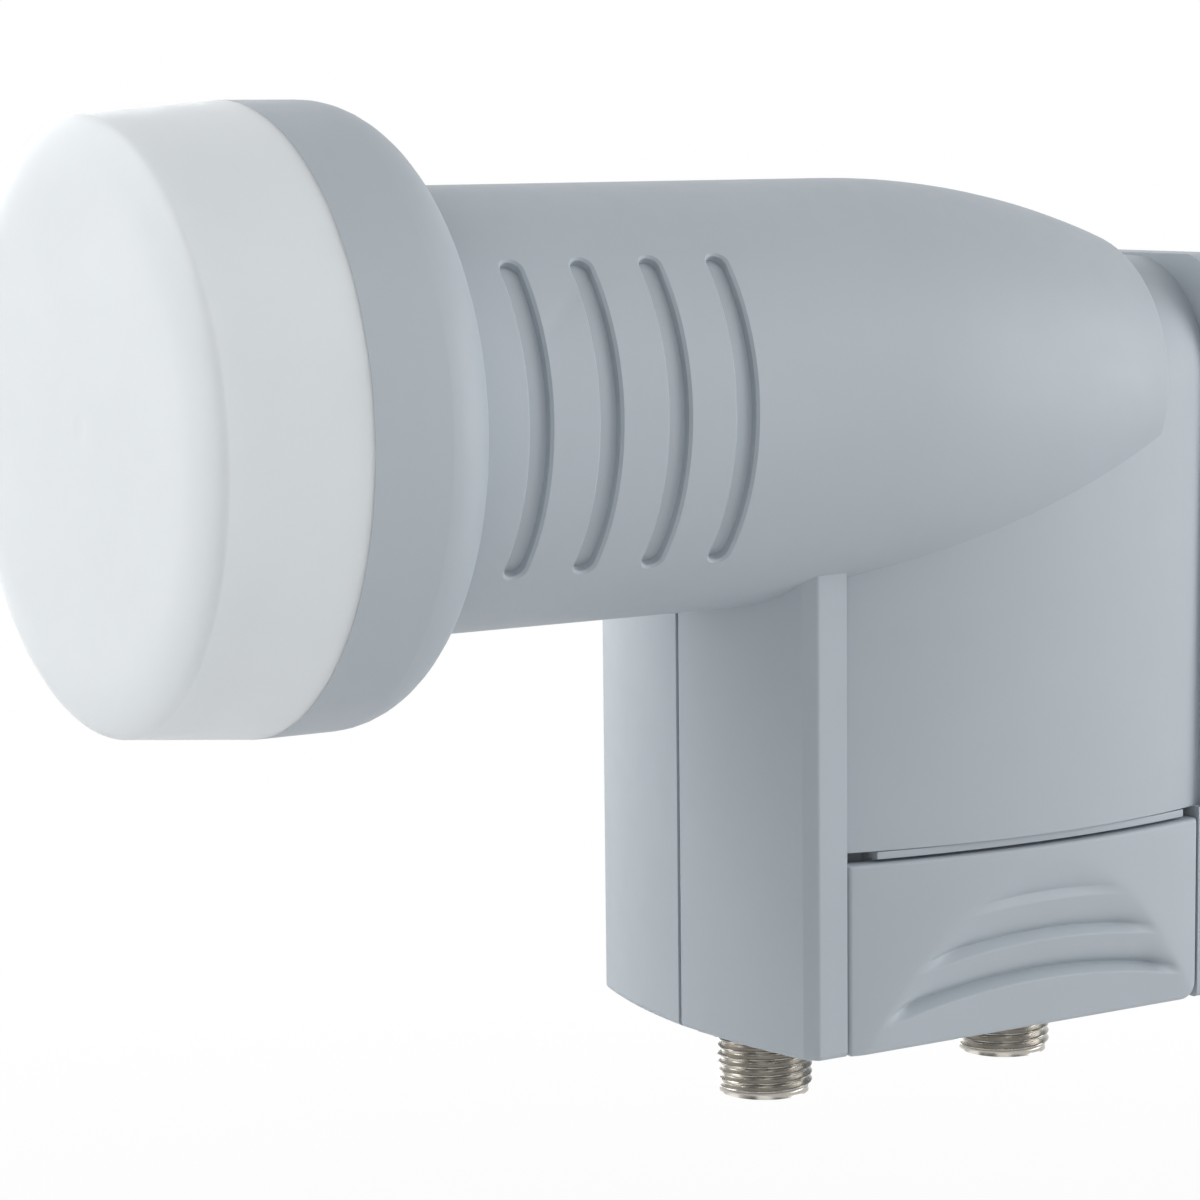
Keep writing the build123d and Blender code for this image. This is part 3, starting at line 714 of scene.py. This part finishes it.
    def plate(self, low: Vector, high: Vector) -> tuple[np.ndarray, np.ndarray]:
        """Plate with the grip, as a front and a back grid.

        The rows follow the arched lines inside the grip and the straight edges outside it. The edge
        falls away by r - sqrt(r^2 - (r - d)^2) at a distance d below r from the outline, a rectangle with
        round lower corners.

        Args:
            low, high: corners of the cover's box, in metres.

        Returns:
            Points and faces.
        """
        base, top = low.z / MM, self.plate_top
        middle = (low.y + high.y) / 2 / MM
        half = (high.y - low.y) / 2 / MM
        y, z = self.plate_grid(base, half, middle)
        lower_r = np.where(y < 0, self.front_corner_r, self.rear_corner_r)
        sunk = np.clip(base + lower_r - z, 0, lower_r)
        y = y * (half - lower_r + np.sqrt(lower_r**2 - sunk**2)) / half
        corner = np.where(z < (base + top) / 2, lower_r, self.upper_corner_r)
        out_y = np.abs(y) - (half - corner)
        out_z = np.abs(z - (base + top) / 2) - ((top - base) / 2 - corner)
        beyond = np.hypot(np.maximum(out_y, 0), np.maximum(out_z, 0))
        inset = np.clip(corner - beyond - np.minimum(np.maximum(out_y, out_z), 0), 0, self.edge_r)
        fall = self.edge_r - np.sqrt(self.edge_r**2 - (self.edge_r - inset) ** 2)
        front = self.face(y, z) - fall
        behind = (y + middle >= self.guide_ends[0]) & (y + middle <= self.guide_ends[1])
        back = np.where(behind, self.guide_back, self.guide_front) + self.bow(y, self.guide_bulge)
        points = np.stack([np.stack([x, y + middle, z], axis=-1) for x in (front, back)])
        return points.reshape(-1, 3), shell_quads(*y.shape)

    def plate_grid(self, base: float, half: float, middle: float) -> tuple[np.ndarray, np.ndarray]:
        """Places of the plate's vertices, close together at its edges and down the grip.

        A level inside the grip lies at z = level - arch(y). Below and above the grip the rows spread
        evenly from there to the plate's straight edges.

        Args:
            base: lower edge of the plate.
            half: half of its length.
            middle: its middle along the case.

        Returns:
            The y from the middle and the z of each vertex.
        """
        top = self.plate_top
        grip_low, grip_high = self.grip_span
        near = np.array(self.edge_rows)
        low_inset, low_end, low_count = self.low_rows
        below = np.linspace(base + low_inset, low_end, low_count)
        grip = np.arange(self.grip_rows[0], top - self.grip_rows[1], self.row_step)
        heights = np.concatenate([base + near, below, grip, top - near[::-1]])
        first, last = self.guide_ends
        guide = np.array([first - self.guide_gap, first, last, last + self.guide_gap])
        wide = np.linspace(self.column_inset - half, half - self.column_inset, self.columns)
        across = np.sort(np.concatenate([near - half, wide, half - near[::-1], guide - middle]))
        y, level = np.meshgrid(across, heights)
        drop = self.arch(y)
        lower = base + (level - base) * (grip_low - drop - base) / (grip_low - base)
        upper = top - (top - level) * (top - grip_high + drop) / (top - grip_high)
        z = np.where(level < grip_low, lower, np.where(level > grip_high, upper, level - drop))
        return y, z

    def strip(
        self,
        y0: float,
        y1: float,
        z0: float,
        z1: float,
        middle: float,
        sides: tuple[float, float] | None = None,
    ) -> tuple[np.ndarray, np.ndarray]:
        """Strip of the guide, bowed like the panel that it runs behind.

        Args:
            y0, y1: its ends along the case.
            z0, z1: its lower and upper edge.
            middle: middle of the bow along the case.
            sides: x of its outer and inner face, which are the guide's unless given.

        Returns:
            Points and faces.
        """
        y, z = np.meshgrid(np.linspace(y0, y1, self.strip_columns), np.linspace(z0, z1, self.strip_rows))
        bow = self.bow(y - middle, self.guide_bulge)
        faces = sides or (self.guide_front, self.guide_back)
        points = np.stack([np.stack([x + bow, y, z], axis=-1) for x in faces])
        return points.reshape(-1, 3), shell_quads(*y.shape)

    def build(self) -> bpy.types.Object:
        """Joins the plate, the guide, its bead and the ears that stop it, on one side of the case.

        Returns:
            The cover, in place of its node.
        """
        name = self.side.name.lower()
        node = "weather_slide_" + name
        low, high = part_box(node)
        middle = (low.y + high.y) / 2 / MM
        y0, y1, top = low.y / MM, high.y / MM, high.z / MM
        first, last = self.guide_ends
        pieces = [
            self.plate(low, high),
            self.strip(first, last, self.plate_top - self.overlap, top, middle),
            self.strip(first - self.bead_ahead, last, *self.bead_z, middle, self.bead_x),
            self.strip(y0, first + self.ear_overlap, top - self.ear_height, top, middle),
            self.strip(last - self.ear_overlap, y1, top - self.ear_height, top, middle),
        ]
        starts = np.cumsum([0] + [len(points) for points, _ in pieces])
        points = np.concatenate([points for points, _ in pieces])
        quads = np.concatenate([faces + start for (_, faces), start in zip(pieces, starts)])
        if self.side is Side.LEFT:
            points[:, 0] = 2 * self.mid_x - points[:, 0]
        cover = mesh_object("weather_cover_" + name, points * MM, quads)
        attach(cover, "slide_" + name)
        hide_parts(node)
        return cover

    def dress(self, wardrobe: Wardrobe) -> None:
        """Builds the cover and gives it the case's finish."""
        wardrobe.dress(self.build(), Slot.CASE)


@dataclass(frozen=True)
class SoftLamp:
    """One lamp of the studio: its name, the way to it in degrees and its watts."""

    name: str
    azimuth_deg: float
    elevation_deg: float
    power: float

    def place(self, reach: float, centre_y: float) -> Vector:
        """Where the lamp hangs.

        Args:
            reach: metres from the middle of the object.
            centre_y: the middle of the object along Y.

        Returns:
            Its place in metres.
        """
        turn, lift = math.radians(self.azimuth_deg), math.radians(self.elevation_deg)
        way = (math.cos(lift) * math.cos(turn), math.cos(lift) * math.sin(turn), math.sin(lift))
        return reach * Vector(way) + Vector((0.0, centre_y, 0.0))


@dataclass
class Studio:
    """White floor and backdrop, soft lamps and the camera of the photograph.

    Lengths are in metres unless the name says millimetres. The lamps hang lamp_reach from the object and
    look at aim. The room that mirrors see lies towards room_way, and is dark past a cosine of dim_to.
    """

    floor_z: float = -0.17
    floor_size: float = 6.0
    lens_mm: float = 108.0
    sensor_mm: float = 36.0
    yaw_deg: float = 58.55
    pitch_deg: float = 7.29
    roll_deg: float = -0.64
    eye_mm: tuple[float, float, float] = (281.41, -164.81, 23.83)
    clip: tuple[float, float] = (0.01, 50.0)
    ambient: float = 0.1
    lamp_reach: float = 0.95
    lamp_size: float = 0.7
    aim: tuple[float, float, float] = (0.0, 0.02, -0.01)
    rig: tuple[SoftLamp, ...] = (
        SoftLamp("lamp_rear_left", 178.5, 5.0, 4.8),
        SoftLamp("lamp_left", -121.5, 5.0, 1.5),
        SoftLamp("lamp_key", -118.0, 35.0, 5.4),
        SoftLamp("lamp_front", -31.5, 5.0, 1.9),
        SoftLamp("lamp_right", 60.0, 5.0, 5.2),
        SoftLamp("lamp_high_right", 45.0, 30.0, 1.4),
        SoftLamp("lamp_top", 13.5, 55.0, 2.4),
    )
    floor_grey: float = 0.82
    floor_white: float = 0.85
    dim_from: float = 0.3
    dim_to: float = 0.85
    room_way: tuple[float, float, float] = (0.853, -0.522, 0.0)
    shadow_near: float = 0.25
    shadow_far: float = 0.5

    def camera(self) -> None:
        """Stands the camera at its measured place and turn."""
        yaw, pitch, roll = (math.radians(a) for a in (self.yaw_deg, self.pitch_deg, self.roll_deg))
        back = Vector(
            (math.sin(yaw) * math.cos(pitch), -math.cos(yaw) * math.cos(pitch), math.sin(pitch))
        )
        right = Vector((math.cos(yaw), math.sin(yaw), 0.0))
        up = back.cross(right)
        across = right * math.cos(roll) + up * math.sin(roll)
        upward = up * math.cos(roll) - right * math.sin(roll)
        data = bpy.data.cameras.new("camera")
        data.lens = self.lens_mm
        data.sensor_width = self.sensor_mm
        data.clip_start, data.clip_end = self.clip
        camera = bpy.data.objects.new("camera", data)
        turn = Matrix((across, upward, back)).transposed().to_4x4()
        camera.matrix_world = Matrix.Translation(Vector(self.eye_mm) * MM) @ turn
        bpy.context.scene.collection.objects.link(camera)
        bpy.context.scene.camera = camera

    @staticmethod
    def seen(tree: bpy.types.NodeTree, mirrored: bpy.types.NodeSocket | None = None) -> bpy.types.NodeSocket:
        """Value of 1 for rays from the camera and from mirrors and glass, else 0.

        Args:
            tree: the node tree to add it to.
            mirrored: what mirrors see instead of 1, if given.

        Returns:
            The value socket.
        """
        path = tree.nodes.new("ShaderNodeLightPath")
        value = path.outputs["Is Camera Ray"]
        glossy = path.outputs["Is Glossy Ray"]
        if mirrored is not None:
            share = tree.nodes.new("ShaderNodeMath")
            share.operation = "MULTIPLY"
            tree.links.new(glossy, share.inputs[0])
            tree.links.new(mirrored, share.inputs[1])
            glossy = share.outputs[0]
        for other in (glossy, path.outputs["Is Transmission Ray"]):
            either = tree.nodes.new("ShaderNodeMath")
            either.operation = "MAXIMUM"
            tree.links.new(value, either.inputs[0])
            tree.links.new(other, either.inputs[1])
            value = either.outputs[0]
        return value

    def world(self) -> None:
        """Lights the scene evenly, with white where the background is seen.

        Mirrors see that white backdrop too, and the unlit room on the side that faces it.
        """
        world = bpy.data.worlds.new("studio")
        world.use_nodes = True
        bpy.context.scene.world = world
        tree = world.node_tree
        tree.nodes.clear()
        output = tree.nodes.new("ShaderNodeOutputWorld")
        shade = tree.nodes.new("ShaderNodeBackground")
        shade.inputs["Color"].default_value = (1.0, 1.0, 1.0, 1.0)
        facing = tree.nodes.new("ShaderNodeVectorMath")
        facing.operation = "DOT_PRODUCT"
        facing.inputs[1].default_value = self.room_way
        tree.links.new(tree.nodes.new("ShaderNodeTexCoord").outputs["Generated"], facing.inputs[0])
        dim = tree.nodes.new("ShaderNodeMapRange")
        dim.inputs["From Min"].default_value = self.dim_from
        dim.inputs["From Max"].default_value = self.dim_to
        dim.inputs["To Min"].default_value = 1.0
        dim.inputs["To Max"].default_value = 0.0
        tree.links.new(facing.outputs["Value"], dim.inputs["Value"])
        strength = tree.nodes.new("ShaderNodeMapRange")
        strength.inputs["To Min"].default_value = self.ambient
        strength.inputs["To Max"].default_value = 1.0
        tree.links.new(self.seen(tree, dim.outputs["Result"]), strength.inputs["Value"])
        tree.links.new(strength.outputs["Result"], shade.inputs["Strength"])
        tree.links.new(shade.outputs["Background"], output.inputs["Surface"])

    def floor(self) -> None:
        """Lays a wide pale floor: matte with the object's shadow under it, white where it is seen far off."""
        half = self.floor_size / 2
        points = np.array([(-half, -half, 0), (half, -half, 0), (half, half, 0), (-half, half, 0)])
        points[:, 2] = self.floor_z
        floor = mesh_object("studio_floor", points, np.array([[0, 1, 2, 3]]))
        material = bpy.data.materials.new("studio_white")
        material.use_nodes = True
        tree = material.node_tree
        tree.nodes.clear()
        output = tree.nodes.new("ShaderNodeOutputMaterial")
        matte = tree.nodes.new("ShaderNodeBsdfDiffuse")
        matte.inputs["Color"].default_value = (self.floor_grey, self.floor_grey, self.floor_grey, 1.0)
        glow = tree.nodes.new("ShaderNodeEmission")
        glow.inputs["Color"].default_value = (1.0, 1.0, 1.0, 1.0)
        reach = tree.nodes.new("ShaderNodeVectorMath")
        reach.operation = "LENGTH"
        tree.links.new(tree.nodes.new("ShaderNodeTexCoord").outputs["Object"], reach.inputs[0])
        fade = tree.nodes.new("ShaderNodeMapRange")
        fade.inputs["From Min"].default_value = self.shadow_near
        fade.inputs["From Max"].default_value = self.shadow_far
        fade.inputs["To Min"].default_value = self.floor_white
        tree.links.new(reach.outputs["Value"], fade.inputs["Value"])
        share = tree.nodes.new("ShaderNodeMath")
        share.operation = "MULTIPLY"
        tree.links.new(self.seen(tree), share.inputs[0])
        tree.links.new(fade.outputs["Result"], share.inputs[1])
        mix = tree.nodes.new("ShaderNodeMixShader")
        tree.links.new(share.outputs[0], mix.inputs["Fac"])
        tree.links.new(matte.outputs["BSDF"], mix.inputs[1])
        tree.links.new(glow.outputs["Emission"], mix.inputs[2])
        tree.links.new(mix.outputs["Shader"], output.inputs["Surface"])
        floor.data.materials.append(material)

    def lamps(self) -> None:
        """Hangs the soft square lamps, each looking at the object."""
        for lamp in self.rig:
            data = bpy.data.lights.new(lamp.name, "AREA")
            data.size = self.lamp_size
            data.energy = lamp.power
            obj = bpy.data.objects.new(lamp.name, data)
            obj.location = lamp.place(self.lamp_reach, self.aim[1])
            obj.rotation_euler = (Vector(self.aim) - obj.location).to_track_quat("-Z", "Y").to_euler()
            bpy.context.scene.collection.objects.link(obj)

    def build(self) -> None:
        """Sets up the whole studio."""
        self.camera()
        self.world()
        self.floor()
        self.lamps()
        view = bpy.context.scene.view_settings
        view.view_transform = "Standard"


def main() -> None:
    """Dresses the frame, builds the new pieces and sets up the studio."""
    logging.basicConfig(level=logging.INFO, format="%(message)s")
    wardrobe = Wardrobe()
    wardrobe.dress_nodes()
    FrontCap().dress(wardrobe)
    for side in Side:
        WeatherCover(side).dress(wardrobe)
    for place in Place:
        ThreadedSocket(place).dress(wardrobe)
    Studio().build()


if __name__ == "__main__":
    main()
